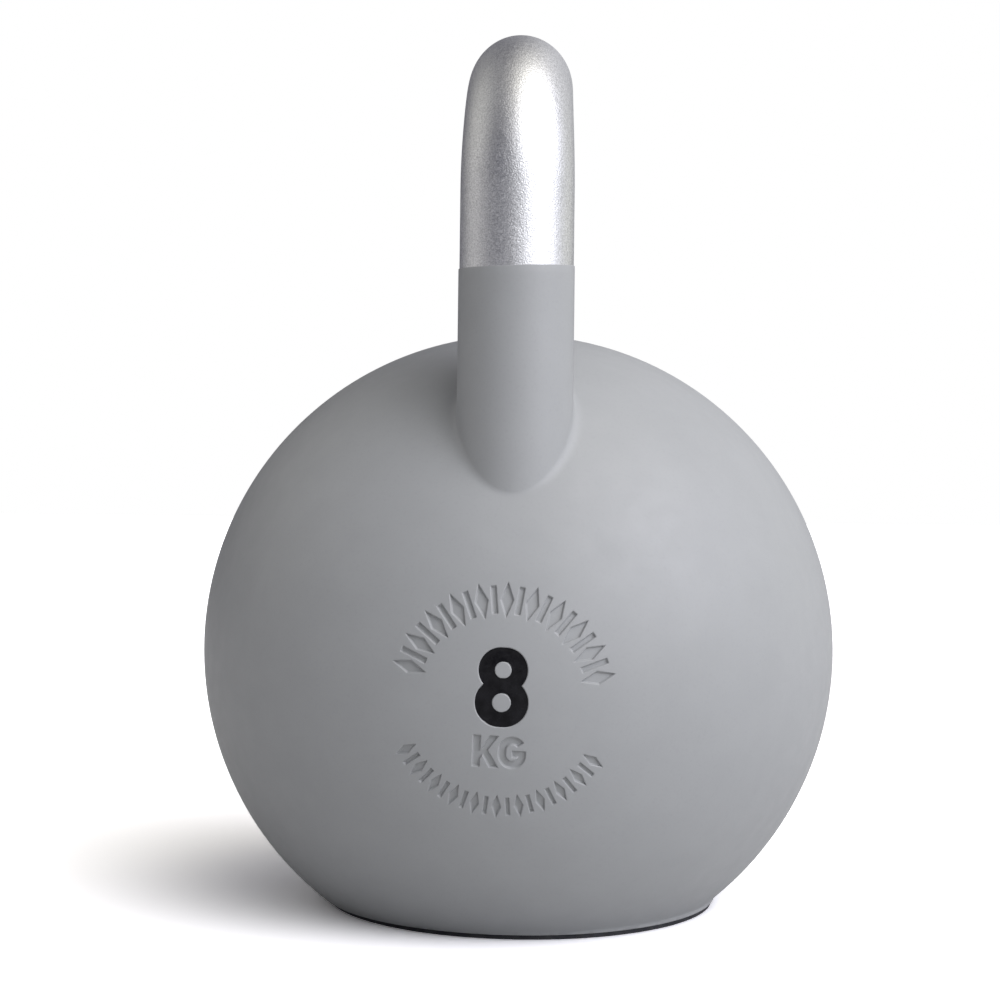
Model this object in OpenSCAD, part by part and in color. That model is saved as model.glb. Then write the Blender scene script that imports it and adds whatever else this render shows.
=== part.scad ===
// Competition kettlebell, 8 kg: a hollow steel ball with a bent round bar welded on as the handle.
// Origin on the floor right under the ball's centre, +Z up. The marked face looks towards -Y.
// The handle lies in the YZ plane, so a hand goes through the window along X.

/* [Overall] */
// Height from the floor to the top of the grip
height = 279.5; // [274:0.5:290]

/* [Ball] */
// Outside radius of the ball
ball_r = 105; // [103:1:108]
// Height of the ball's centre above the floor
ball_z = 84; // [82:0.5:86]
// Wall thickness of the ball
wall = 4; // [3.6:0.1:6]

/* [Base] */
// Radius of the foot, the short upright ring under the ball
foot_r = 65.5; // [65.5:0.5:68]
// How far the foot's centre sits to the right of the ball's middle
foot_x = 1.5; // [0:0.5:1.5]
// Thickness of the rubber sole
sole_t = 1.5; // [0.8:0.1:1.5]
// How far the sole's edge stays inside the foot's edge
sole_inset = 1; // [0.5:0.1:2]
// Thickness of the steel around the base opening
base_t = 7.5; // [6:0.5:9]
// Radius of the base opening
opening_r = 48; // [44:1:52]
// Width of the weld ring around the base plate
base_weld_w = 2.5; // [1.5:0.5:4]
// Radius of the filling hole in the base plate
fill_hole_r = 10; // [8:1:12]
// Height of the ballast above the base plate
ballast_h = 7.5; // [4:0.5:16]

/* [Handle] */
// Diameter of the handle bar
bar_d = 34; // [33:0.5:35]
// Length of the straight grip between the two bends
grip_len = 75; // [70:1:82]
// Bend radius on the bar's centre line
bend_r = 37.5; // [32:0.5:38]
// Height at which the bar ends inside the ball
bar_end_z = 114; // [110:1:116]
// Radius of the fillet between a horn and the ball
fillet_r = 5; // [3:0.5:7]
// Thickness of the powder coat on the horns
coat_t = 0.3; // [0.2:0.05:0.5]
// Height of the masking line, where the coat stops, on the horn's centre line
mask_z = 202; // [198:0.5:208]
// How far the masking line dips towards the outside, in degrees
mask_dip = 5; // [0:1:8]
// How far the masking line drops towards one side, in degrees
mask_tilt = 2; // [0:1:4]

/* [Marking] */
// Height of the marking's centre above the floor
marking_z = 77; // [70:0.5:80]
// How far the marking's centre sits to the left of the ball's middle
marking_left = 2; // [0:0.5:4]
// Turn of the marking on the ball, clockwise, in degrees
marking_turn = 2.5; // [0:0.5:5]
// Depth of the debossed marking
deboss = 0.8; // [0.5:0.1:1.2]
// Thickness of the enamel in the debossed number
enamel_t = 0.5; // [0.3:0.1:0.5]
// Number of diamonds in each of the two arcs
diamonds = 11; // [7:1:11]

/* [Hidden] */

paint_grey = [0.55, 0.56, 0.57];
bare_steel = [0.76, 0.77, 0.79];
cut_steel = [0.48, 0.49, 0.52];
rubber_black = [0.07, 0.07, 0.08];
enamel_black = [0.04, 0.04, 0.05];
copper = [0.72, 0.43, 0.26];
shot_grey = [0.35, 0.34, 0.33];
weld_grey = [0.5, 0.5, 0.51];

// Handle: a level grip, a quarter bend at each end and two upright horns
bar_r = bar_d / 2;
coat_r = bar_r + coat_t;
grip_z = height - bar_r;
horn_y = grip_len / 2 + bend_r;
horn_top_z = grip_z - bend_r;
horn_len = horn_top_z - bar_end_z;
ball_centre = [0, 0, ball_z];

// Base stack, from the floor up
plate_z = sole_t + 0.5;
plate_t = base_t - 0.5;
plate_r = opening_r - base_weld_w;
plug_head_r = fill_hole_r + 4;
plug_head_t = 2.5;
seal_t = 1;
plug_len = 12;
socket_r = 6;
socket_depth = 6;
counterbore_t = plug_head_t + seal_t;
plate_top = plate_z + plate_t;
ballast_r = opening_r + 10;
plug_room = 3;

// Marking: two arcs of diamonds and bars, a number and its unit
upper_ring_r = 32.5;
lower_ring_r = 34.6;
upper_cell_h = 9.6;
lower_cell_h = 6.4;
upper_span = 150;
lower_span = 116;
unit_h = 9;
unit_stroke = 2;
g_half_w = 3.8;
marks_reach = 5;

around_n = 72;
arc_n = 6;
$fn = 96;

// ---- Small helpers ----

function unit(v) = v / norm(v);

// Direction away from the front horn's centre line: 0 is along +X and 90 is away from the window
function spoke(a) = [cos(a), -sin(a), 0];

// Point at radius r and angle a from the front horn's centre line, at height z
function beside_horn(a, r, z) = [0, -horn_y, z] + r * spoke(a);

// Height at which an upright line through p comes within reach of the ball's centre
function height_within(p, reach) = ball_z + sqrt(reach * reach - p[0] * p[0] - p[1] * p[1]);

// Nearest point of the ball's surface
function on_surface(p) = ball_centre + ball_r * unit(p - ball_centre);

// The fillet's arc at angle a, from a horn of radius r to the ball, as a rolling ball leaves it
function fillet_arc(a, r) =
    let (
        beside = beside_horn(a, r + fillet_r, 0),
        centre = [beside[0], beside[1], height_within(beside, ball_r + fillet_r)],
        to_horn = -spoke(a),
        to_ball = unit(ball_centre - centre),
        turn = acos(to_horn * to_ball)
    )
    [for (k = [0:arc_n])
        let (part = turn * k / arc_n)
        centre + fillet_r * (to_horn * sin(turn - part) + to_ball * sin(part)) / sin(turn)
    ];

// Where the horn's surface, at radius r, meets the ball
function horn_foot(a, r) =
    let (p = beside_horn(a, r, 0))
    [p[0], p[1], height_within(p, ball_r)];

// Where the horn's surface, at radius r, meets the masking line
function mask_point(a, r) =
    beside_horn(a, r, mask_z - r * (sin(a) * tan(mask_dip) - cos(a) * tan(mask_tilt)));

// Cross sections at angle a, each a closed loop of points
function weld_section(a) =
    let (arc = fillet_arc(a, bar_r), foot = horn_foot(a, bar_r))
    concat(arc, [on_surface((arc[arc_n] + foot) / 2), foot]);

function coat_section(a) =
    let (outer = fillet_arc(a, coat_r), inner = fillet_arc(a, bar_r))
    concat(
        [mask_point(a, coat_r)],
        outer,
        [for (k = [arc_n:-1:0]) inner[k]],
        [mask_point(a, bar_r)]
    );

// Solid ring from the cross sections, one for each step around the horn
module ring_from(sections) {
    n = len(sections);
    m = len(sections[0]);
    points = [for (s = sections) for (p = s) p];
    faces = [
        for (i = [0:n - 1]) for (j = [0:m - 1])
            let (i2 = (i + 1) % n, j2 = (j + 1) % m)
            each [
                [i * m + j, i2 * m + j, i2 * m + j2],
                [i * m + j, i2 * m + j2, i * m + j2]
            ]
    ];
    polyhedron(points = points, faces = faces, convexity = 8);
}

// A child drawn on the front horn, turned to the rear
module at_rear() {
    rotate([0, 0, 180]) children();
}

// The front horn's straight rod, from the bend down to its cut end
module horn_rod() {
    translate([0, -horn_y, bar_end_z]) cylinder(r = bar_r, h = horn_len);
}

// The bend between the grip and the front horn
module bend() {
    translate([0, -grip_len / 2, horn_top_z])
        rotate([90, 0, -90])
            rotate_extrude(angle = 90) translate([bend_r, 0]) circle(r = bar_r);
}

// ---- Marking outlines, drawn flat with X right and Y up ----

module diamond(cell_h) {
    w = cell_h * 0.19;
    h = cell_h / 2;
    polygon([[-w, 0], [0, h], [w, 0], [0, -h]]);
}

module bar(cell_h) {
    square([cell_h * 0.15, cell_h * 0.8], center = true);
}

// Diamonds with a bar between each pair, inside radius r, over span degrees and centred on mid
module arc_of_cells(r, cell_h, span, mid) {
    step = span / (diamonds - 1);
    start = mid - span / 2;
    for (i = [0:diamonds - 1])
        rotate(start + i * step) translate([0, r - cell_h / 2]) diamond(cell_h);
    for (i = [0:diamonds - 2])
        rotate(start + (i + 0.5) * step) translate([0, r - cell_h / 2]) bar(cell_h);
}

// One loop of the number: a short stadium with a round hole
module loop(half_w, half_h, hole_r) {
    shift = half_w - half_h;
    difference() {
        union() {
            for (side = [-1, 1]) translate([side * shift, 0]) circle(r = half_h);
            square([2 * shift, 2 * half_h], center = true);
        }
        circle(r = hole_r);
    }
}

module number_eight() {
    translate([0, 8]) loop(6.9, 6.3, 2.4);
    translate([0, -1.2]) loop(7.5, 6.9, 2.7);
}

module letter_k() {
    square([unit_stroke, unit_h]);
    polygon([[1, 2.9], [4.7, 9], [7, 9], [4.1, 4.9], [7.2, 0], [4.9, 0], [2.85, 3.4], [1, 1.1]]);
}

module stadium(r, rise) {
    for (side = [-1, 1]) translate([0, side * rise]) circle(r = r);
    square([2 * r, 2 * rise], center = true);
}

module letter_g() {
    rise = unit_h / 2 - g_half_w;
    translate([g_half_w, unit_h / 2])
    difference() {
        union() {
            difference() {
                stadium(g_half_w, rise);
                stadium(g_half_w - unit_stroke, rise);
            }
            translate([0.1, -1.3]) square([g_half_w - 1, 2.2]);
        }
        polygon([[-0.5, 0.5], [9, 0.5], [9, 7.5], [0.8, 1.3], [-0.5, 1.3]]);
    }
}

module unit_mark() {
    translate([-7.4, -19.8]) letter_k();
    translate([-0.1, -19.8]) letter_g();
}

// A flat outline carried onto the ball's front, as the space between two depths under its surface
module on_ball(depth_from, depth_to) {
    difference() {
        intersection() {
            translate([-marking_left, 0, marking_z])
                rotate([90, 0, 0])
                    linear_extrude(height = ball_r + marks_reach) rotate(-marking_turn) children();
            translate(ball_centre) sphere(r = ball_r - depth_from, $fn = 180);
        }
        translate(ball_centre) sphere(r = ball_r - depth_to, $fn = 180);
    }
}

// ---- Pieces ----

module body_shell() {
    color(paint_grey)
    difference() {
        union() {
            translate(ball_centre) sphere(r = ball_r, $fn = 180);
            translate([foot_x, 0, 0]) cylinder(r = foot_r, h = ball_z / 4);
        }
        translate([-ball_r, -ball_r, -ball_r]) cube([2 * ball_r, 2 * ball_r, ball_r + sole_t]);
        // hollow inside, with a flat floor around the opening
        intersection() {
            translate(ball_centre) sphere(r = ball_r - wall, $fn = 180);
            translate([-ball_r, -ball_r, sole_t + base_t]) cube(2 * ball_r);
        }
        cylinder(r = opening_r, h = 2 * base_t);
        horn_rod();
        at_rear() horn_rod();
        on_ball(-marks_reach, deboss) {
            arc_of_cells(upper_ring_r, upper_cell_h, upper_span, 0);
            arc_of_cells(lower_ring_r, lower_cell_h, lower_span, 180);
            number_eight();
            unit_mark();
        }
    }
}

module handle_bar() {
    color(bare_steel)
    union() {
        translate([0, grip_len / 2, grip_z]) rotate([90, 0, 0]) cylinder(r = bar_r, h = grip_len);
        bend();
        horn_rod();
        at_rear() bend();
        at_rear() horn_rod();
    }
}

module front_horn_weld() {
    color(weld_grey) ring_from([for (i = [0:around_n - 1]) weld_section(i * 360 / around_n)]);
}

module rear_horn_weld() {
    at_rear() front_horn_weld();
}

module front_horn_coat() {
    color(paint_grey) ring_from([for (i = [0:around_n - 1]) coat_section(i * 360 / around_n)]);
}

module rear_horn_coat() {
    at_rear() front_horn_coat();
}

module number_infill() {
    color(enamel_black) on_ball(deboss - enamel_t, deboss) number_eight();
}

module base_plate() {
    color(cut_steel)
    difference() {
        translate([0, 0, plate_z]) cylinder(r = plate_r, h = plate_t);
        cylinder(r = fill_hole_r, h = 2 * base_t);
        cylinder(r = plug_head_r, h = plate_z + counterbore_t);
    }
}

module base_plate_weld() {
    color(weld_grey)
    translate([0, 0, plate_z])
    difference() {
        cylinder(r = opening_r, h = plate_t);
        translate([0, 0, -1]) cylinder(r = plate_r, h = plate_t + 2);
    }
}

module filler_plug() {
    color(cut_steel)
    difference() {
        union() {
            translate([0, 0, plate_z]) cylinder(r = plug_head_r, h = plug_head_t);
            translate([0, 0, plate_z]) cylinder(r = fill_hole_r, h = plug_len);
        }
        translate([0, 0, plate_z - 1]) cylinder(r = socket_r, h = socket_depth + 1, $fn = 6);
    }
}

module plug_seal() {
    color(copper)
    translate([0, 0, plate_z + plug_head_t])
    difference() {
        cylinder(r = plug_head_r, h = seal_t);
        translate([0, 0, -1]) cylinder(r = fill_hole_r, h = seal_t + 2);
    }
}

module ballast() {
    color(shot_grey)
    translate([0, 0, plate_top])
    difference() {
        cylinder(r = ballast_r, h = ballast_h);
        translate([0, 0, -1]) cylinder(r = fill_hole_r + plug_room, h = ballast_h + 2);
    }
}

module base_pad() {
    color(rubber_black) translate([foot_x, 0, 0]) cylinder(r = foot_r - sole_inset, h = sole_t);
}

body_shell();
handle_bar();
front_horn_weld();
rear_horn_weld();
front_horn_coat();
rear_horn_coat();
number_infill();
base_plate();
base_plate_weld();
filler_plug();
plug_seal();
ballast();
base_pad();
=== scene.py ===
"""Looks of a competition kettlebell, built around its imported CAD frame. Every length is in metres."""

import math

import bmesh
import bpy
import numpy as np
from mathutils import Matrix, Vector


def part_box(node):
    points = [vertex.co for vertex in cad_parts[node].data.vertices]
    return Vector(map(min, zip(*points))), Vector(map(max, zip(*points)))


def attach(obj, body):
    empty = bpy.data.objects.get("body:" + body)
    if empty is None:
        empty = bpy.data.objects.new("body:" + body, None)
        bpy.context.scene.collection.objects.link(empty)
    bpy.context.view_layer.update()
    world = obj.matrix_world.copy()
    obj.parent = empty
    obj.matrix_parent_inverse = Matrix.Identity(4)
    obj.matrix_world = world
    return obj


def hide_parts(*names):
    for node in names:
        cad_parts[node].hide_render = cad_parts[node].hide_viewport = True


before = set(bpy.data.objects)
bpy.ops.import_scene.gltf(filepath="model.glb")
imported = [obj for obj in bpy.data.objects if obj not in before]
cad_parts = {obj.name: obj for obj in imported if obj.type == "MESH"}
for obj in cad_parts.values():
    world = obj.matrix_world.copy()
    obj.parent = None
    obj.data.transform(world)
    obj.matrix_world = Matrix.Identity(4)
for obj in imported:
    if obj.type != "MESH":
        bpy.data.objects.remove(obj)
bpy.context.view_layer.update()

MM = 0.001

# ---- Dimensions, from the frame where it holds them ----

shell_low, shell_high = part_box("body_shell")
bar_low, bar_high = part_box("handle_bar")
sole_low, sole_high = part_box("base_pad")

BALL_R = round((shell_high.x - shell_low.x) / 2, 4)
BALL_Z = shell_high.z - BALL_R
BAR_R = (bar_high.x - bar_low.x) / 2
HORN_Y = bar_high.y - BAR_R
GRIP_Z = bar_high.z - BAR_R
BAR_END_Z = bar_low.z
SOLE_T = sole_high.z
SOLE_R = (sole_high.x - sole_low.x) / 2
FOOT_X = (sole_high.x + sole_low.x) / 2

BEND_R = 37.5 * MM
BEND_OVAL = 0.045
BAR_CHAMFER = 1 * MM
WALL = 4 * MM
INNER_R = BALL_R - WALL
SOLE_INSET = 1 * MM
FOOT_R = SOLE_R + SOLE_INSET
FOOT_RIM = 0.6 * MM
FOOT_CREASE = 1.5 * MM
FOOT_LAND = 6 * MM
BASE_T = 7.5 * MM
FLOOR_Z = SOLE_T + BASE_T
OPENING_R = 48 * MM
COAT_T = 0.3 * MM
COAT_R = BAR_R + COAT_T
COAT_LIP = COAT_T * 0.6
FILLET_R = 5 * MM
FILLET_SKIRT = 0.4 * MM
MASK_Z = 202 * MM
MASK_DIP = math.radians(5)
MASK_TILT = math.radians(2)

# Sole: the rounding of its rims, and the groove in its underside, measured inwards from the rim's start
SOLE_RIM = 0.3 * MM
GROOVE_OUTER = 7 * MM
GROOVE_INNER = 9 * MM
GROOVE_SLOPE = 0.2 * MM
GROOVE_DEPTH = 0.25 * MM
SOLE_MIDDLE_R = 20 * MM

# Marking, in a flat frame with X right and Y up from its centre
MARKING_X = -2 * MM
MARKING_Z = 77 * MM
MARKING_TURN = math.radians(2.5)
DEBOSS = 0.8 * MM
EDGE_W = 0.36 * MM
UPPER_RING_R = 32.5 * MM
LOWER_RING_R = 34.6 * MM
UPPER_CELL = 9.6 * MM
LOWER_CELL = 6.4 * MM
UPPER_SPAN = math.radians(150)
LOWER_SPAN = math.radians(116)
DIAMONDS = 11
MARKING_REACH = 37 * MM

# A diamond's half width, and a bar's half width and half height, as shares of the arc's cell height
DIAMOND_HALF_W = 0.19
BAR_HALF_W = 0.075
BAR_HALF_H = 0.4

# Enamel in the number: how deep its skin lies, how much deeper its middle sinks, where its underside
# lies, and how far it runs up the pocket's wall, except at the bare spots (in mm, from the marking's centre)
ENAMEL_DEPTH = 0.3 * MM
ENAMEL_SAG = 0.1 * MM
ENAMEL_SAG_RUN = 1.1 * MM
ENAMEL_BACK = DEBOSS - 0.02 * MM
ENAMEL_RUN = 0.2 * MM
BARE_SPOTS = [(-6, 3.3), (-4.4, -6.8), (1.4, 9.9), (1.5, 1.2)]
BARE_SPOT_R = 1.1 * MM
BARE_SPOT_GAP = 0.5 * MM

# Steps of the meshes: columns around a round piece, the ball's grid at the marking and elsewhere, the
# cuts in each face near the marking's outlines, and the enamel's cells with the area they cover
AROUND = 192
FINE = 1 * MM
COARSE = 3.2 * MM
COARSE_TURN = math.radians(2.6)
FINE_ANGLE_MARGIN = 0.92
OUTLINE_CUTS = 5
OUTLINE_REACH = 0.8 * MM
SET_BACK_MARGIN = 2 * MM
ENAMEL_CELL = 0.3 * MM
ENAMEL_HALF_W = 8.4 * MM
ENAMEL_LOW = -9.3 * MM
ENAMEL_HIGH = 15.3 * MM
ENAMEL_PULLS = 3

# Rows of the meshes, and the turns of the last rows before the ball's inner and outer poles
ROUNDING_ROWS = 7
HOLLOW_ROWS = 16
COAT_ROWS = 25
COAT_LIP_ROWS = 5
FILLET_ROWS = 17
HORN_ROWS = 24
BEND_ROWS = 41
GRIP_ROWS = 18
SOLE_RIM_ROWS = 6
HOLLOW_TOP = math.radians(86)
BALL_TOP = math.radians(88.5)

# The turn between two faces above which their edge is drawn sharp
SHARP_PAINT = math.radians(40)
SHARP_STEEL = math.radians(30)
SHARP_ENAMEL = math.radians(50)
SHARP_RUBBER = math.radians(35)

# On the ball, only edges below and above these heights are drawn sharp
BASE_EDGES_Z = FLOOR_Z * 1.1
HORN_HOLES_Z = 120 * MM

BALL_CENTRE = np.array([0, 0, BALL_Z])


# ---- Marking outlines: signed distances in the flat frame, below zero inside ----


def circle_distance(x, y, r):
    return np.hypot(x, y) - r


def box_distance(x, y, half_w, half_h):
    dx, dy = np.abs(x) - half_w, np.abs(y) - half_h
    return np.hypot(np.maximum(dx, 0), np.maximum(dy, 0)) + np.minimum(np.maximum(dx, dy), 0)


def diamond_distance(x, y, half_w, half_h):
    slope = half_w * half_h / math.hypot(half_w, half_h)
    return (np.abs(x) / half_w + np.abs(y) / half_h - 1) * slope


def polygon_distance(x, y, corners):
    """Distance to a polygon's edges, negative where the even-odd rule says inside."""
    nearest = np.full_like(x, np.inf)
    inside = np.zeros(x.shape, bool)
    for (ax, ay), (bx, by) in zip(corners, corners[1:] + corners[:1]):
        ex, ey = bx - ax, by - ay
        t = np.clip(((x - ax) * ex + (y - ay) * ey) / (ex * ex + ey * ey), 0, 1)
        nearest = np.minimum(nearest, np.hypot(x - ax - t * ex, y - ay - t * ey))
        if ay != by:
            inside ^= ((ay > y) != (by > y)) & (x < ax + (y - ay) * ex / ey)
    return np.where(inside, -nearest, nearest)


def arc_distance(x, y, ring_r, cell_h, span, mid):
    """An arc of diamonds with a bar between each pair. The turn from straight up is positive to the left."""
    step = span / (DIAMONDS - 1)
    turn = (np.arctan2(-x, y) - mid + math.pi) % (2 * math.pi) - math.pi
    radius = np.hypot(x, y)
    nearest_diamond = np.clip(np.round((turn + span / 2) / step), 0, DIAMONDS - 1)
    nearest_bar = np.clip(np.round((turn + span / 2) / step - 0.5), 0, DIAMONDS - 2) + 0.5
    out = []
    for place in (nearest_diamond, nearest_bar):
        off = turn - (place * step - span / 2)
        out.append((radius * np.sin(off), radius * np.cos(off) - ring_r + cell_h / 2))
    diamond = diamond_distance(*out[0], cell_h * DIAMOND_HALF_W, cell_h / 2)
    bar = box_distance(*out[1], cell_h * BAR_HALF_W, cell_h * BAR_HALF_H)
    return np.minimum(diamond, bar)


def loop_distance(x, y, half_w, half_h, hole_r):
    """A short stadium with a round hole."""
    beyond = np.maximum(np.abs(x) - (half_w - half_h), 0)
    return np.maximum(circle_distance(beyond, y, half_h), -circle_distance(x, y, hole_r))


def eight_distance(x, y):
    """The number, two loops one over the other."""
    upper = loop_distance(x, y - 8 * MM, 6.9 * MM, 6.3 * MM, 2.4 * MM)
    lower = loop_distance(x, y + 1.2 * MM, 7.5 * MM, 6.9 * MM, 2.7 * MM)
    return np.minimum(upper, lower)


def scaled(corners):
    """Corners given in mm, in metres."""
    return [(cx * MM, cy * MM) for cx, cy in corners]


def k_distance(x, y):
    """Both coordinates run from the letter's lower left corner."""
    arms = [(1, 2.9), (4.7, 9), (7, 9), (4.1, 4.9), (7.2, 0), (4.9, 0), (2.85, 3.4), (1, 1.1)]
    stem = box_distance(x - 1 * MM, y - 4.5 * MM, 1 * MM, 4.5 * MM)
    return np.minimum(stem, polygon_distance(x, y, scaled(arms)))


def g_distance(x, y):
    """Both coordinates run from the letter's centre."""
    beyond = np.maximum(np.abs(y) - 0.7 * MM, 0)
    ring = np.abs(circle_distance(x, beyond, 2.8 * MM)) - 1 * MM
    shelf = box_distance(x - 1.5 * MM, y + 0.2 * MM, 1.4 * MM, 1.1 * MM)
    gap = [(-0.5, 0.5), (9, 0.5), (9, 7.5), (0.8, 1.3), (-0.5, 1.3)]
    return np.maximum(np.minimum(ring, shelf), -polygon_distance(x, y, scaled(gap)))


def marking_distance(x, y):
    """The whole marking: both arcs, the number and the unit's two letters."""
    return np.minimum.reduce([
        arc_distance(x, y, UPPER_RING_R, UPPER_CELL, UPPER_SPAN, 0),
        arc_distance(x, y, LOWER_RING_R, LOWER_CELL, LOWER_SPAN, math.pi),
        eight_distance(x, y),
        k_distance(x + 7.4 * MM, y + 19.8 * MM),
        g_distance(x - 3.7 * MM, y + 15.3 * MM),
    ])


def to_marking(x, z):
    """From the object's X and Z to the marking's flat frame."""
    dx, dz = x - MARKING_X, z - MARKING_Z
    cos, sin = math.cos(MARKING_TURN), math.sin(MARKING_TURN)
    return dx * cos - dz * sin, dx * sin + dz * cos


def from_marking(x, y):
    """From the marking's flat frame to the object's X and Z."""
    cos, sin = math.cos(MARKING_TURN), math.sin(MARKING_TURN)
    return MARKING_X + x * cos + y * sin, MARKING_Z - x * sin + y * cos


# ---- Mesh helpers ----


def smoothstep(t):
    t = np.clip(t, 0, 1)
    return t * t * (3 - 2 * t)


def new_piece(name, points, faces, material, node):
    """A mesh object that rides on the body and stands for a CAD node."""
    mesh = bpy.data.meshes.new(name)
    mesh.from_pydata([tuple(p) for p in points], [], [tuple(f) for f in faces])
    mesh.polygons.foreach_set("use_smooth", [True] * len(mesh.polygons))
    mesh.materials.append(material)
    mesh.validate()
    piece = bpy.data.objects.new(name, mesh)
    bpy.context.scene.collection.objects.link(piece)
    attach(piece, "root")
    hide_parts(node)
    return piece


def grid_faces(rows, columns, close_rows=False):
    """Quads of a grid that closes around its columns, and around its rows too if asked."""
    row = np.arange(rows if close_rows else rows - 1)
    col = np.arange(columns)
    r0, c0 = np.meshgrid(row, col, indexing="ij")
    r1, c1 = (r0 + 1) % rows, (c0 + 1) % columns
    corners = [r0 * columns + c0, r0 * columns + c1, r1 * columns + c1, r1 * columns + c0]
    return np.stack(corners, -1).reshape(-1, 4).tolist()


def cap_faces(low, high, last, columns):
    """Triangles from a low point to the first row of columns, and from a high point to the last row."""
    faces = []
    for c in range(columns):
        c2 = (c + 1) % columns
        faces.append((low, c2, c))
        faces.append((high, last + c, last + c2))
    return faces


def spun(profile, angles):
    """Points of a profile of (radius, height) pairs turned about Z. Angle 0 is -Y, and 90 degrees is +X."""
    profile = np.asarray(profile)
    radius, height = profile[:, :1], profile[:, 1:]
    x = radius * np.sin(angles)
    y = -radius * np.cos(angles)
    z = height * np.ones_like(angles)
    return np.stack([x, y, z], -1).reshape(-1, 3)


def full_turn(count):
    return np.arange(count) * 2 * math.pi / count


def arc_points(centre, radius, start, stop, count):
    """Points of a circle's arc, angles from the radius axis towards the height axis."""
    angles = np.linspace(start, stop, count)
    return [(centre[0] + radius * math.cos(a), centre[1] + radius * math.sin(a)) for a in angles]


def graded(start, fine_start, fine_stop, stop, fine, coarse):
    """Values from start to stop, close together in the fine stretch and further apart outside it."""
    before = np.linspace(start, fine_start, max(2, round((fine_start - start) / coarse) + 1))[:-1]
    middle = np.linspace(fine_start, fine_stop, max(2, round((fine_stop - fine_start) / fine) + 1))
    after = np.linspace(fine_stop, stop, max(2, round((stop - fine_stop) / coarse) + 1))[1:]
    return np.concatenate([before, middle, after])


def sharpen(mesh, limit, may_sharpen=lambda co: True):
    """Marks the edges that turn by more than limit as sharp, where may_sharpen allows it."""
    bm = bmesh.new()
    bm.from_mesh(mesh)
    for edge in bm.edges:
        if len(edge.link_faces) == 2 and edge.calc_face_angle() > limit:
            edge.smooth = not may_sharpen(edge.verts[0].co)
    bm.to_mesh(mesh)
    bm.free()


# ---- Node helpers ----


class Nodes:
    """A material's node tree with short calls for what these materials share."""

    def __init__(self, name):
        self.material = bpy.data.materials.new(name)
        self.material.use_nodes = True
        self.tree = self.material.node_tree
        self.shader = self.tree.nodes["Principled BSDF"]
        coordinates = self.tree.nodes.new("ShaderNodeTexCoord")
        self.place = coordinates.outputs["Object"]

    def link(self, source, target):
        self.tree.links.new(source, target)

    def noise(self, size, detail=2, roughness=0.5):
        """Fractal noise whose largest features are about size across."""
        node = self.tree.nodes.new("ShaderNodeTexNoise")
        node.inputs["Scale"].default_value = 1 / size
        node.inputs["Detail"].default_value = detail
        node.inputs["Roughness"].default_value = roughness
        self.link(self.place, node.inputs["Vector"])
        return node.outputs["Fac"]

    def cells(self, size):
        """Distance to the nearest of scattered points that are about size apart, in units of size."""
        node = self.tree.nodes.new("ShaderNodeTexVoronoi")
        node.inputs["Scale"].default_value = 1 / size
        self.link(self.place, node.inputs["Vector"])
        return node.outputs["Distance"]

    def ramp(self, value, *stops):
        """Colour ramp. Each stop is (position, colour or grey)."""
        node = self.tree.nodes.new("ShaderNodeValToRGB")
        elements = node.color_ramp.elements
        while len(elements) < len(stops):
            elements.new(0.5)
        for element, (position, colour) in zip(elements, stops):
            element.position = position
            element.color = (*colour, 1) if isinstance(colour, tuple) else (colour,) * 3 + (1,)
        self.link(value, node.inputs["Fac"])
        return node.outputs["Color"]

    def spread(self, value, low, high, from_low=0.3, from_high=0.7):
        """A value mapped from the range from_low to from_high onto the range low to high."""
        node = self.tree.nodes.new("ShaderNodeMapRange")
        node.inputs["From Min"].default_value = from_low
        node.inputs["From Max"].default_value = from_high
        node.inputs["To Min"].default_value = low
        node.inputs["To Max"].default_value = high
        self.link(value, node.inputs["Value"])
        return node.outputs["Result"]

    def product(self, a, b):
        node = self.tree.nodes.new("ShaderNodeMath")
        node.operation = "MULTIPLY"
        self.link(a, node.inputs[0])
        self.link(b, node.inputs[1])
        return node.outputs[0]

    def mix(self, share, a, b):
        """Colour a where share is 0 and b where it is 1."""
        node = self.tree.nodes.new("ShaderNodeMix")
        node.data_type = "RGBA"
        self.link(share, node.inputs["Factor"])
        for socket, colour in ((node.inputs[6], a), (node.inputs[7], b)):
            if isinstance(colour, tuple):
                socket.default_value = (*colour, 1)
            else:
                self.link(colour, socket)
        return node.outputs[2]

    def height(self):
        """The Z coordinate."""
        node = self.tree.nodes.new("ShaderNodeSeparateXYZ")
        self.link(self.place, node.inputs[0])
        return node.outputs["Z"]

    def bump(self, *layers):
        """Stacks bump layers of (height value, depth in metres) and feeds the shader's normal."""
        normal = None
        for value, depth in layers:
            node = self.tree.nodes.new("ShaderNodeBump")
            node.inputs["Distance"].default_value = depth
            self.link(value, node.inputs["Height"])
            if normal:
                self.link(normal, node.inputs["Normal"])
            normal = node.outputs["Normal"]
        self.link(normal, self.shader.inputs["Normal"])

    def colour(self, value):
        self.link(value, self.shader.inputs["Base Color"])

    def roughness(self, value):
        self.link(value, self.shader.inputs["Roughness"])

    def fixed(self, **values):
        """Sets the shader's sockets to even values, named with _ for each space."""
        for name, value in values.items():
            self.shader.inputs[name.replace("_", " ")].default_value = value


# ---- Materials ----


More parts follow.
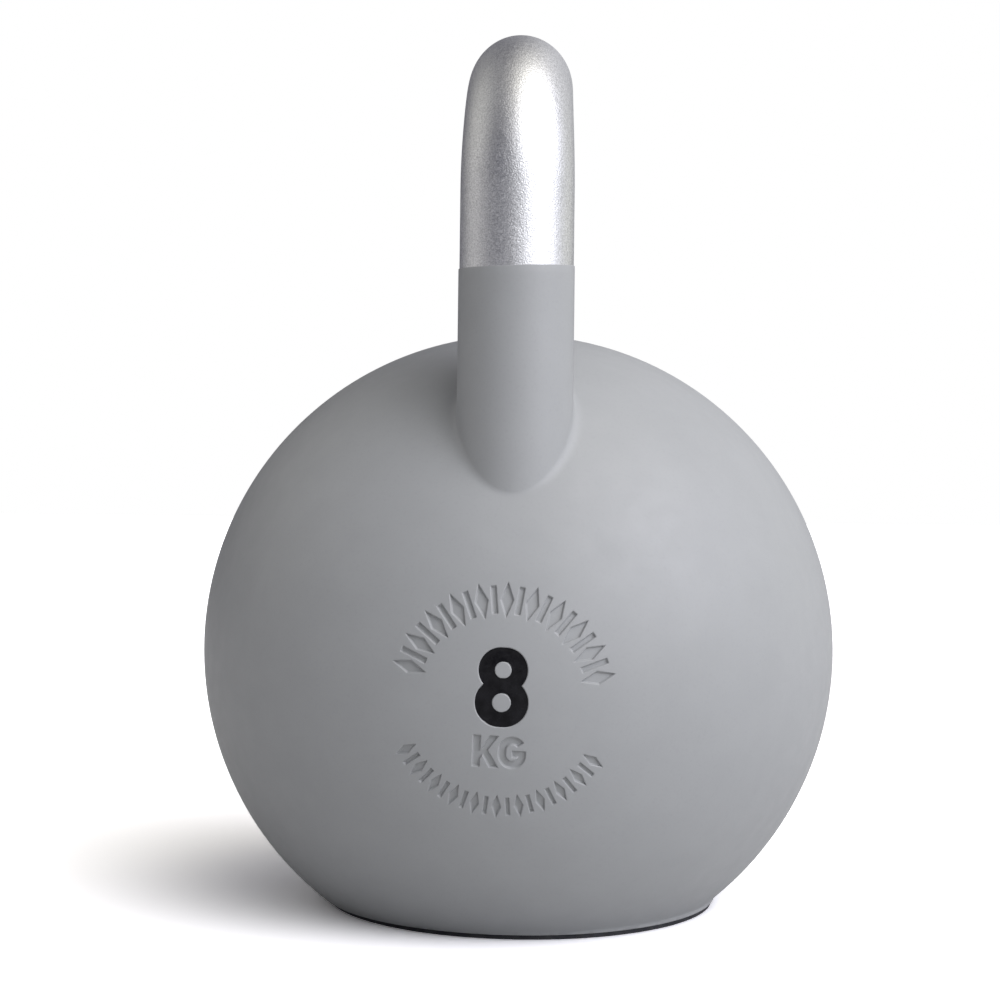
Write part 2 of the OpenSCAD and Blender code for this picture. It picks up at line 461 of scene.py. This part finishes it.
def grey_paint():
    """Satin powder coat: fine orange peel, slight mottling and a little rubbing along the foot's edge."""
    n = Nodes("grey_powder_coat")
    mottle = n.noise(14 * MM, detail=4)
    mottled = n.ramp(mottle, (0.3, (0.316, 0.327, 0.332)), (0.7, (0.329, 0.340, 0.345)))
    speck = n.spread(n.noise(0.9 * MM, detail=1), 0, 0.25, 0.55, 0.75)
    coat = n.mix(speck, mottled, (0.285, 0.295, 0.30))
    low_edge = n.spread(n.height(), 1, 0, SOLE_T, SOLE_T + 1.6 * MM)
    patches = n.spread(n.noise(5 * MM, detail=3), 0, 0.6, 0.52, 0.62)
    rubbed = n.product(low_edge, patches)
    n.colour(n.mix(rubbed, coat, (0.20, 0.205, 0.21)))
    n.roughness(n.spread(n.noise(6 * MM, detail=3), 0.44, 0.54))
    n.bump((n.noise(22 * MM, detail=1), 0.05 * MM), (n.noise(1.1 * MM), 0.012 * MM))
    n.fixed(Specular_IOR_Level=0.45)
    return n.material


def bare_steel():
    """Bead-blasted steel: bright, with a fine sparkling grain and faint handling stains."""
    n = Nodes("blasted_steel")
    grain = n.noise(0.45 * MM, roughness=0.6)
    stain = n.noise(18 * MM, detail=4)
    bright = n.ramp(grain, (0.36, (0.54, 0.55, 0.56)), (0.64, (0.88, 0.89, 0.90)))
    n.colour(n.mix(n.spread(stain, 0, 0.35), bright, (0.62, 0.63, 0.65)))
    n.roughness(n.spread(n.noise(1.2 * MM, detail=3), 0.33, 0.43))
    n.bump((n.noise(9 * MM), 0.03 * MM), (grain, 0.11 * MM))
    n.fixed(Metallic=1.0)
    return n.material


def black_enamel():
    """Brushed-in gloss enamel with a slightly uneven skin."""
    n = Nodes("black_enamel")
    cloud = n.noise(3 * MM, detail=3)
    n.colour(n.ramp(cloud, (0.3, (0.004, 0.004, 0.005)), (0.7, (0.011, 0.011, 0.013))))
    n.roughness(n.spread(n.noise(1.5 * MM, detail=3), 0.16, 0.34))
    n.bump((n.noise(1.6 * MM, detail=3), 0.12 * MM))
    n.fixed(Specular_IOR_Level=0.14)
    return n.material


def black_rubber():
    """Moulded rubber with fine grain and dust in the low spots."""
    n = Nodes("black_rubber")
    dust = n.spread(n.noise(7 * MM, detail=5), 0, 0.5, 0.45, 0.8)
    n.colour(n.mix(dust, (0.012, 0.013, 0.017), (0.05, 0.05, 0.052)))
    n.roughness(n.spread(n.noise(2 * MM, detail=3), 0.62, 0.85))
    n.bump((n.noise(0.5 * MM, detail=3), 0.03 * MM))
    return n.material


def turned_steel():
    """Lathe-turned steel: rings around Z, some dulling and a few rust freckles."""
    n = Nodes("turned_steel")
    rings = n.tree.nodes.new("ShaderNodeTexWave")
    rings.wave_type = "RINGS"
    rings.rings_direction = "Z"
    rings.inputs["Scale"].default_value = 1 / (2.2 * MM)
    rings.inputs["Distortion"].default_value = 0.4
    n.link(n.place, rings.inputs["Vector"])
    base = n.ramp(n.noise(8 * MM, detail=4), (0.3, (0.40, 0.40, 0.41)), (0.7, (0.55, 0.55, 0.56)))
    rust = n.spread(n.noise(4 * MM, detail=5), 0, 0.7, 0.62, 0.72)
    n.colour(n.mix(rust, base, (0.20, 0.11, 0.07)))
    n.roughness(n.spread(n.noise(3 * MM, detail=4), 0.32, 0.55))
    n.bump((rings.outputs["Fac"], 0.02 * MM), (n.noise(0.6 * MM), 0.01 * MM))
    n.fixed(Metallic=1.0)
    return n.material


def weld_steel():
    """Weld bead: ripples of frozen metal with heat-darkened patches."""
    n = Nodes("weld_steel")
    base = n.ramp(n.noise(5 * MM, detail=4), (0.3, (0.26, 0.25, 0.25)), (0.7, (0.45, 0.44, 0.43)))
    n.colour(n.mix(n.spread(n.noise(9 * MM, detail=3), 0, 0.5), base, (0.24, 0.20, 0.20)))
    n.roughness(n.spread(n.noise(2 * MM, detail=3), 0.42, 0.66))
    n.bump((n.cells(1.6 * MM), 0.25 * MM), (n.noise(0.7 * MM, detail=3), 0.05 * MM))
    n.fixed(Metallic=1.0)
    return n.material


def copper():
    """Soft copper washer, tarnished in patches."""
    n = Nodes("copper")
    n.colour(n.ramp(n.noise(4 * MM, detail=4), (0.35, (0.62, 0.30, 0.18)), (0.7, (0.36, 0.19, 0.12))))
    n.roughness(n.spread(n.noise(2 * MM, detail=3), 0.28, 0.5))
    n.bump((n.noise(0.8 * MM), 0.02 * MM))
    n.fixed(Metallic=1.0)
    return n.material


def steel_shot():
    """Small steel balls set in dark resin."""
    n = Nodes("steel_shot")
    ball = n.cells(2 * MM)
    n.colour(n.ramp(ball, (0.3, (0.36, 0.35, 0.34)), (0.55, (0.05, 0.045, 0.04))))
    n.roughness(n.spread(ball, 0.35, 0.7, 0.2, 0.6))
    dome = n.spread(ball, 1, 0, 0, 0.6)
    n.bump((dome, 0.6 * MM), (n.noise(0.5 * MM), 0.02 * MM))
    n.fixed(Metallic=0.6)
    return n.material


# ---- Painted ball ----


def foot_lip(edge):
    """Round the rim of a foot that reaches out to edge, and up to the sphere. Ends with the turn on it."""
    side, lift = edge - FOOT_RIM, SOLE_T + FOOT_RIM
    sphere_turn = math.asin((edge + FOOT_CREASE) / (BALL_R + FOOT_CREASE))
    crease_z = BALL_Z - (BALL_R + FOOT_CREASE) * math.cos(sphere_turn)
    crease_centre = (edge + FOOT_CREASE, crease_z)
    points = [(side - FOOT_LAND, SOLE_T)]
    points += arc_points((side, lift), FOOT_RIM, -math.pi / 2, 0, ROUNDING_ROWS)
    points += arc_points(crease_centre, FOOT_CREASE, math.pi, math.pi / 2 + sphere_turn, ROUNDING_ROWS)
    return points, sphere_turn - math.pi / 2


def cut_edge(start):
    """The same rows where there is no lip: the sphere's own cut edge, rounded, up to the turn start."""
    lift = SOLE_T + FOOT_RIM
    side = math.sqrt((BALL_R - FOOT_RIM) ** 2 - (BALL_Z - lift) ** 2)
    turn = math.atan2(lift - BALL_Z, side)
    points = [(side - FOOT_LAND, SOLE_T)]
    points += arc_points((side, lift), FOOT_RIM, -math.pi / 2, turn, ROUNDING_ROWS)
    points += arc_points((0, BALL_Z), BALL_R, turn, start, ROUNDING_ROWS + 1)[1:]
    return points


def ball_profile(foot, start):
    """Profile from the inner pole, down the hollow, round the opening and foot, and up to the outer pole."""
    floor_turn = math.asin((FLOOR_Z - BALL_Z) / INNER_R)
    inner = arc_points((0, BALL_Z), INNER_R, HOLLOW_TOP, floor_turn, HOLLOW_ROWS)
    base = [(OPENING_R, FLOOR_Z), (OPENING_R, SOLE_T), (OPENING_R + FOOT_LAND, SOLE_T)]
    fine_start = math.asin((MARKING_Z - MARKING_REACH - BALL_Z) / BALL_R)
    fine_stop = math.asin((MARKING_Z + MARKING_REACH - BALL_Z) / BALL_R)
    turns = graded(start, fine_start, fine_stop, BALL_TOP, FINE / BALL_R, COARSE / BALL_R)
    outer = [(BALL_R * math.cos(t), BALL_Z + BALL_R * math.sin(t)) for t in turns[1:]]
    return inner + base + foot + outer


def lip_share(angles):
    """How much of the full lip shows at each angle, as the foot sits a little to the right."""
    reach = FOOT_X * np.sin(angles) + np.sqrt(FOOT_R**2 - (FOOT_X * np.cos(angles)) ** 2)
    cut_r = math.sqrt(BALL_R**2 - (BALL_Z - SOLE_T) ** 2)
    return np.clip((reach - cut_r) / (FOOT_X + FOOT_R - cut_r), 0, 1)


def ball_grid():
    """Points and faces of the closed hollow ball before its marking is cut."""
    half_fine = math.asin(MARKING_REACH / (BALL_R * FINE_ANGLE_MARGIN))
    angles = graded(-math.pi, -half_fine, half_fine, math.pi, FINE / BALL_R, COARSE_TURN)[:-1]
    lip, start = foot_lip(FOOT_X + FOOT_R)
    lipped = spun(ball_profile(lip, start), angles)
    plain = spun(ball_profile(cut_edge(start), start), angles)
    rows, columns = len(plain) // len(angles), len(angles)
    share = np.tile(lip_share(angles), rows)[:, None]
    points = (plain + share * (lipped - plain)).tolist()
    poles = [(0, 0, BALL_Z + INNER_R), (0, 0, BALL_Z + BALL_R)]
    faces = grid_faces(rows, columns)
    faces += cap_faces(len(points), len(points) + 1, (rows - 1) * columns, columns)
    return points + poles, faces


def refine_marking(mesh):
    """Cuts the faces near the marking's outlines into cells of about a sixth of a millimetre."""
    bm = bmesh.new()
    bm.from_mesh(mesh)
    near = []
    for face in bm.faces:
        centre = face.calc_center_median()
        outside = (centre - Vector(BALL_CENTRE)).length > BALL_R - WALL / 2
        x, y = to_marking(centre.x, centre.z)
        if outside and centre.y < 0 and max(abs(x), abs(y)) < MARKING_REACH:
            near.append((face, x, y))
    distance = marking_distance(np.array([n[1] for n in near]), np.array([n[2] for n in near]))
    chosen = [n[0] for n, d in zip(near, distance) if abs(d) < OUTLINE_REACH]
    edges = list({edge for face in chosen for edge in face.edges})
    bmesh.ops.subdivide_edges(bm, edges=edges, cuts=OUTLINE_CUTS, use_grid_fill=True)
    bm.to_mesh(mesh)
    bm.free()


def deboss_marking(mesh):
    """Sets the outer points of the front back onto the sphere, and the marking's below it."""
    co = np.zeros(len(mesh.vertices) * 3)
    mesh.vertices.foreach_get("co", co)
    co = co.reshape(-1, 3)
    away = co - BALL_CENTRE
    radius = np.linalg.norm(away, axis=1)
    x, y = to_marking(co[:, 0], co[:, 2])
    front = (radius > BALL_R - WALL / 2) & (co[:, 1] < 0)
    front &= np.maximum(np.abs(x), np.abs(y)) < MARKING_REACH + SET_BACK_MARGIN
    distance = marking_distance(x[front], y[front])
    depth = DEBOSS * smoothstep(0.5 - distance / EDGE_W)
    co[front] = BALL_CENTRE + away[front] / radius[front, None] * (BALL_R - depth)[:, None]
    mesh.vertices.foreach_set("co", co.ravel())
    mesh.update()


def horn_cutter(side):
    """A rod the size of a horn, for cutting its hole in the ball."""
    bpy.ops.mesh.primitive_cylinder_add(
        vertices=AROUND,
        radius=BAR_R,
        depth=GRIP_Z - BAR_END_Z,
        location=(0, side * HORN_Y, (GRIP_Z + BAR_END_Z) / 2),
    )
    return bpy.context.object


def cut_horn_holes(piece):
    """Cuts both horns' holes into the ball's mesh."""
    for side in (-1, 1):
        cutter = horn_cutter(side)
        hole = piece.modifiers.new("hole", "BOOLEAN")
        hole.operation, hole.solver, hole.object = "DIFFERENCE", "MANIFOLD", cutter
        depsgraph = bpy.context.evaluated_depsgraph_get()
        cut = bpy.data.meshes.new_from_object(piece.evaluated_get(depsgraph))
        piece.modifiers.remove(hole)
        piece.data = cut
        bpy.data.objects.remove(cutter)


def painted_ball(paint):
    """The hollow ball. Its sharp edges are only those at the base and round the horn holes."""
    points, faces = ball_grid()
    piece = new_piece("painted_ball", points, faces, paint, "body_shell")
    cut_horn_holes(piece)
    refine_marking(piece.data)
    deboss_marking(piece.data)
    piece.data.polygons.foreach_set("use_smooth", [True] * len(piece.data.polygons))
    sharpen(piece.data, SHARP_PAINT, lambda co: co.z < BASE_EDGES_Z or co.z > HORN_HOLES_Z)


# ---- Horn paint and fillets ----


def spokes(side):
    """Unit vectors away from a horn's axis, one for each step around it, from +X towards the outside."""
    angles = full_turn(AROUND)
    return np.stack([np.cos(angles), side * np.sin(angles), np.zeros(AROUND)], -1)


def height_within(points, reach):
    """Height at which an upright line through each point comes within reach of the ball's centre."""
    return BALL_Z + np.sqrt(reach**2 - points[:, 0] ** 2 - points[:, 1] ** 2)


def ball_rolled(side, radius):
    """Centre of a ball of the fillet's radius that touches both the horn and the ball, at each spoke."""
    centre = np.array([0, side * HORN_Y, 0]) + (radius + FILLET_R) * spokes(side)
    centre[:, 2] = height_within(centre, BALL_R + FILLET_R)
    return centre


def unit(vectors):
    return vectors / np.linalg.norm(vectors, axis=1, keepdims=True)


def mask_heights(side):
    """The masking line's height at each spoke, lower outside and towards one side."""
    out = spokes(side)
    across = side * -out[:, 0]
    return MASK_Z - COAT_R * (side * out[:, 1] * math.tan(MASK_DIP) - across * math.tan(MASK_TILT))


def horn_paint(side, name, node, paint):
    """The coat on a horn, from the fillet up to a rounded lip at the masking line."""
    out = spokes(side)
    axis = np.array([0, side * HORN_Y, 0])
    foot = ball_rolled(side, COAT_R)[:, 2]
    mask = mask_heights(side)
    rows = []
    for share in np.linspace(0, 1, COAT_ROWS):
        row = axis + COAT_R * out
        row[:, 2] = foot + (mask - COAT_LIP - foot) * share
        rows.append(row)
    for turn in np.linspace(0, math.pi / 2, COAT_LIP_ROWS)[1:]:
        radius = COAT_R - COAT_LIP * (1 - math.cos(turn))
        row = axis + radius * out
        row[:, 2] = mask - COAT_LIP * (1 - math.sin(turn))
        rows.append(row)
    inner = axis + BAR_R * out
    for height in (mask, foot):
        row = inner.copy()
        row[:, 2] = height
        rows.append(row)
    faces = grid_faces(len(rows), AROUND, close_rows=True)
    faces = [face if side > 0 else face[::-1] for face in faces]
    piece = new_piece(name, np.concatenate(rows), faces, paint, node)
    sharpen(piece.data, SHARP_PAINT)


def between(start, stop, turn, share):
    """Directions turned from start towards stop by a share of the angle between them."""
    return (start * np.sin(turn * (1 - share)) + stop * np.sin(turn * share)) / np.sin(turn)


def fillet_paint(side, name, node, paint):
    """The painted weld between a horn and the ball, as a rolled fillet shaded to fade into the ball."""
    axis = np.array([0, side * HORN_Y, 0])
    centre = ball_rolled(side, COAT_R)
    to_horn = -spokes(side)
    to_ball = unit(BALL_CENTRE - centre)
    turn = np.arccos(np.sum(to_horn * to_ball, axis=1))[:, None]
    rows, normals = [], []
    for share in np.linspace(0, 1, FILLET_ROWS):
        eased = math.sin(share * math.pi / 2)
        rows.append(centre + FILLET_R * between(to_horn, to_ball, turn, share))
        normals.append(-between(to_horn, to_ball, turn, eased))
    skirt = BALL_CENTRE + unit(rows[-1] - BALL_CENTRE) * (BALL_R - FILLET_SKIRT)
    foot = axis + BAR_R * spokes(side)
    foot[:, 2] = height_within(foot, BALL_R) - FILLET_SKIRT
    collar = foot.copy()
    collar[:, 2] = centre[:, 2]
    for hidden in (skirt, foot, collar):
        rows.append(hidden)
        normals.append(unit(hidden - BALL_CENTRE))
    faces = grid_faces(len(rows), AROUND, close_rows=True)
    faces = [face[::-1] if side > 0 else face for face in faces]
    piece = new_piece(name, np.concatenate(rows), faces, paint, node)
    piece.data.normals_split_custom_set_from_vertices(np.concatenate(normals).tolist())


# ---- Steel handle ----


def bend_squeeze(centre):
    """How wide the bar is across, as a share of its full width: the bends and grip are slightly oval."""
    height = centre[2] - (GRIP_Z - BEND_R)
    return 1 - BEND_OVAL * smoothstep(height / BEND_R)


def handle_line():
    """Centres and outward directions along the handle, from the front horn's end to the rear's."""
    top = GRIP_Z - BEND_R
    corner = HORN_Y - BEND_R
    heights = np.linspace(BAR_END_Z + BAR_CHAMFER, top, HORN_ROWS)[:-1]
    line = [((0, -HORN_Y, z), (0, -1, 0)) for z in heights]
    for turn in np.linspace(0, math.pi / 2, BEND_ROWS):
        out = (0, -math.cos(turn), math.sin(turn))
        line.append(((0, -corner + BEND_R * out[1], top + BEND_R * out[2]), out))
    front = list(line)
    line += [((0, y, GRIP_Z), (0, 0, 1)) for y in np.linspace(-corner, corner, GRIP_ROWS)[1:-1]]
    return line + [((0, -c[1], c[2]), (0, -o[1], o[2])) for c, o in reversed(front)]


def steel_handle(steel):
    """The bent bar, with chamfered ends that stand inside the ball."""
    angles = full_turn(AROUND)[:, None]
    line = handle_line()
    rows = []
    for centre, out in line:
        across = np.array([bend_squeeze(centre), 0, 0])
        rows.append(np.array(centre) + BAR_R * (np.cos(angles) * across + np.sin(angles) * np.array(out)))
    ends = []
    for row, centre in ((rows[0], line[0][0]), (rows[-1], line[-1][0])):
        small = np.array(centre) + (row - np.array(centre)) * (1 - BAR_CHAMFER / BAR_R)
        small[:, 2] -= BAR_CHAMFER
        ends.append(small)
    rows = [ends[0], *rows, ends[1]]
    points = np.concatenate(rows)
    middles = [end.mean(0) for end in ends]
    faces = grid_faces(len(rows), AROUND)
    faces += cap_faces(len(points), len(points) + 1, (len(rows) - 1) * AROUND, AROUND)
    faces = [tuple(reversed(face)) for face in faces]
    piece = new_piece("steel_handle", [*points, *middles], faces, steel, "handle_bar")
    sharpen(piece.data, SHARP_STEEL)


# ---- Enamel in the number ----


def slope_of(distance, x, y):
    """Unit gradient of a distance field."""
    step = 0.01 * MM
    gx = distance(x + step, y) - distance(x - step, y)
    gy = distance(x, y + step) - distance(x, y - step)
    size = np.maximum(np.hypot(gx, gy), 1e-12)
    return gx / size, gy / size


def enamel_margin(x, y):
    """How far the enamel runs up the pocket's wall. It stops short of the wall at a few bare spots."""
    margin = np.full_like(x, ENAMEL_RUN)
    for spot_x, spot_y in BARE_SPOTS:
        near = np.exp(-((x - spot_x * MM) ** 2 + (y - spot_y * MM) ** 2) / BARE_SPOT_R**2)
        margin = margin - BARE_SPOT_GAP * near
    return margin


def enamel_outline_grid():
    """Cells that cover the number, with their rim pulled onto the enamel's outline."""
    columns = np.arange(-ENAMEL_HALF_W, ENAMEL_HALF_W, ENAMEL_CELL)
    heights = np.arange(ENAMEL_LOW, ENAMEL_HIGH, ENAMEL_CELL)
    gx, gy = np.meshgrid(columns, heights)
    mid_x, mid_y = gx[:-1, :-1] + ENAMEL_CELL / 2, gy[:-1, :-1] + ENAMEL_CELL / 2
    keep = eight_distance(mid_x, mid_y) < enamel_margin(mid_x, mid_y)
    width = len(columns)
    r, c = np.nonzero(keep)
    corner = r * width + c
    quads = np.stack([corner, corner + 1, corner + 1 + width, corner + width], -1)
    used, quads = np.unique(quads, return_inverse=True)
    quads = quads.reshape(-1, 4)
    x, y = gx.ravel()[used], gy.ravel()[used]
    rim = np.bincount(quads.ravel(), minlength=len(used)) < 4
    for _ in range(ENAMEL_PULLS):
        off = np.where(rim, eight_distance(x, y) - enamel_margin(x, y), 0)
        sx, sy = slope_of(eight_distance, x, y)
        x, y = x - off * sx, y - off * sy
    return x, y, quads


def number_enamel(enamel):
    """The enamel, as a thin shell that follows the ball, a little sunk away from the pocket's walls."""
    x, y, quads = enamel_outline_grid()
    sunk = ENAMEL_SAG * smoothstep(-eight_distance(x, y) / ENAMEL_SAG_RUN)
    across, up = from_marking(x, y)
    layers = []
    for depth in (ENAMEL_DEPTH + sunk, np.full_like(x, ENAMEL_BACK)):
        front = -np.sqrt((BALL_R - depth) ** 2 - across**2 - (up - BALL_Z) ** 2)
        layers.append(np.stack([across, front, up], -1))
    count = len(x)
    front = [tuple(q) for q in quads.tolist()]
    back = [tuple(i + count for i in reversed(q)) for q in front]
    sides = {}
    for q in front:
        for a, b in zip(q, q[1:] + q[:1]):
            if sides.pop((b, a), None) is None:
                sides[(a, b)] = (b, a, a + count, b + count)
    faces = front + back + list(sides.values())
    points = np.concatenate(layers)
    piece = new_piece("number_enamel", points, faces, enamel, "number_infill")
    sharpen(piece.data, SHARP_ENAMEL)


# ---- Sole ----


def rubber_sole(rubber):
    """A thin disc with rounded rims and a shallow groove ring in its underside."""
    side = SOLE_R - SOLE_RIM
    profile = [
        (SOLE_MIDDLE_R, 0),
        (side - GROOVE_INNER, 0),
        (side - GROOVE_INNER + GROOVE_SLOPE, GROOVE_DEPTH),
        (side - GROOVE_OUTER - GROOVE_SLOPE, GROOVE_DEPTH),
        (side - GROOVE_OUTER, 0),
    ]
    profile += arc_points((side, SOLE_RIM), SOLE_RIM, -math.pi / 2, 0, SOLE_RIM_ROWS)
    profile += arc_points((side, SOLE_T - SOLE_RIM), SOLE_RIM, 0, math.pi / 2, SOLE_RIM_ROWS)
    profile += [(side - GROOVE_INNER, SOLE_T), (SOLE_MIDDLE_R, SOLE_T)]
    points = (spun(profile, full_turn(AROUND)) + (FOOT_X, 0, 0)).tolist()
    faces = grid_faces(len(profile), AROUND)
    faces += cap_faces(len(points), len(points) + 1, (len(profile) - 1) * AROUND, AROUND)
    points += [(FOOT_X, 0, 0), (FOOT_X, 0, SOLE_T)]
    piece = new_piece("rubber_sole", points, faces, rubber, "base_pad")
    sharpen(piece.data, SHARP_RUBBER)


# ---- CAD nodes that stay ----


def give_material(node, material):
    """Sets the finish of a CAD node, whose mesh stays as it is."""
    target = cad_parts[node]
    target.data.materials.clear()
    target.data.materials.append(material)


def dress_cad_nodes():
    steel = turned_steel()
    give_material("base_plate", steel)
    give_material("filler_plug", steel)
    give_material("base_plate_weld", weld_steel())
    give_material("plug_seal", copper())
    give_material("ballast", steel_shot())


# ---- Stage, lights and camera ----


# The floor's half width, its brightness as the camera sees it, plain white, and as it throws light back
FLOOR_REACH = 30
FLOOR_SEEN = 1.5
FLOOR_BOUNCE = 0.6


def studio_floor():
    """A wide pale floor, not part of the object."""
    mesh = bpy.data.meshes.new("studio_floor")
    r = FLOOR_REACH
    mesh.from_pydata([(-r, -r, 0), (r, -r, 0), (r, r, 0), (-r, r, 0)], [], [(0, 1, 2, 3)])
    floor = bpy.data.objects.new("studio_floor", mesh)
    bpy.context.scene.collection.objects.link(floor)
    n = Nodes("pale_floor")
    seen = n.tree.nodes.new("ShaderNodeLightPath").outputs["Is Camera Ray"]
    pale = n.ramp(n.noise(0.2, detail=1), (0.3, FLOOR_SEEN), (0.7, FLOOR_SEEN * 1.02))
    n.colour(n.mix(seen, (FLOOR_BOUNCE,) * 3, pale))
    n.fixed(Roughness=0.9, Specular_IOR_Level=0.1)
    mesh.materials.append(n.material)


# Soft lights at a great distance: azimuth from the camera side, positive to the right; elevation;
# sharpness; colour and strength
LIGHTS = {
    "key_right": (60, 34, 14, (4.0, 4.0, 4.7)),
    "key_front": (30, 34, 14, (2.1, 2.1, 2.1)),
    "high_right": (60, 62, 10, (2.5, 2.4, 2.1)),
    "low_right": (60, 6, 14, (1.3, 1.3, 1.2)),
    "rear_right": (120, 6, 14, (0.9, 0.9, 0.8)),
    "rear_right_high": (150, 34, 14, (0.6, 0.6, 0.6)),
    "fill_left": (-90, 6, 14, (0.44, 0.42, 0.40)),
    "fill_left_high": (-90, 34, 14, (0.48, 0.47, 0.43)),
    "rear_left": (-120, 34, 14, (0.42, 0.41, 0.36)),
}
AMBIENT = (0.07, 0.07, 0.10)


def direction(azimuth, elevation):
    """The unit vector towards a light."""
    a, e = math.radians(azimuth), math.radians(elevation)
    return Vector((math.sin(a) * math.cos(e), -math.cos(a) * math.cos(e), math.sin(e)))


def studio_world():
    """Smooth pools of light around the object on a dim surround, and plain white behind it."""
    world = bpy.data.worlds.new("studio")
    bpy.context.scene.world = world
    world.use_nodes = True
    tree = world.node_tree
    tree.nodes.clear()
    add = tree.nodes.new
    link = tree.links.new
    place = add("ShaderNodeTexCoord").outputs["Generated"]
    total = add("ShaderNodeRGB").outputs[0]
    total.default_value = (*AMBIENT, 1)
    for azimuth, elevation, sharpness, strength in LIGHTS.values():
        dot = add("ShaderNodeVectorMath")
        dot.operation = "DOT_PRODUCT"
        dot.inputs[1].default_value = direction(azimuth, elevation)
        link(place, dot.inputs[0])
        fall = add("ShaderNodeMath")
        fall.operation = "MULTIPLY_ADD"
        fall.inputs[1].default_value = sharpness
        fall.inputs[2].default_value = -sharpness
        link(dot.outputs["Value"], fall.inputs[0])
        pool = add("ShaderNodeMath")
        pool.operation = "EXPONENT"
        link(fall.outputs[0], pool.inputs[0])
        sum_up = add("ShaderNodeVectorMath")
        sum_up.operation = "MULTIPLY_ADD"
        sum_up.inputs[1].default_value = strength
        link(pool.outputs[0], sum_up.inputs[0])
        link(total, sum_up.inputs[2])
        total = sum_up.outputs[0]
    lit, backdrop = add("ShaderNodeBackground"), add("ShaderNodeBackground")
    link(total, lit.inputs["Color"])
    backdrop.inputs["Color"].default_value = (1, 1, 1, 1)
    pick = add("ShaderNodeMixShader")
    link(add("ShaderNodeLightPath").outputs["Is Camera Ray"], pick.inputs["Fac"])
    link(lit.outputs[0], pick.inputs[1])
    link(backdrop.outputs[0], pick.inputs[2])
    link(pick.outputs[0], add("ShaderNodeOutputWorld").inputs["Surface"])


# The camera's place before it is turned about the object, and its turns in radians
CAMERA_PLACE = (-6.66 * MM, -600 * MM, 129.03 * MM)
CAMERA_TURN = 0.034
CAMERA_PITCH = 0.0073
CAMERA_ROLL = 0.012
CAMERA_LENS = 63.63
CAMERA_SENSOR = 36


def camera():
    """About level with the middle of the object, just right of its front, and turned a little."""
    data = bpy.data.cameras.new("camera")
    data.sensor_width = CAMERA_SENSOR
    data.lens = CAMERA_LENS
    data.clip_start = 10 * MM
    view = bpy.data.objects.new("camera", data)
    bpy.context.scene.collection.objects.link(view)
    standing = Matrix.Rotation(CAMERA_TURN, 4, "Z") @ Matrix.Translation(CAMERA_PLACE)
    aim = Matrix.Rotation(math.pi / 2 + CAMERA_PITCH, 4, "X") @ Matrix.Rotation(CAMERA_ROLL, 4, "Z")
    view.matrix_world = standing @ aim
    bpy.context.scene.camera = view
    bpy.context.scene.view_settings.view_transform = "Standard"


def build():
    paint = grey_paint()
    painted_ball(paint)
    for side, place in ((-1, "front"), (1, "rear")):
        horn_paint(side, f"{place}_horn_paint", f"{place}_horn_coat", paint)
        fillet_paint(side, f"{place}_horn_fillet", f"{place}_horn_weld", paint)
    steel_handle(bare_steel())
    number_enamel(black_enamel())
    rubber_sole(black_rubber())
    dress_cad_nodes()
    studio_floor()
    studio_world()
    camera()


build()
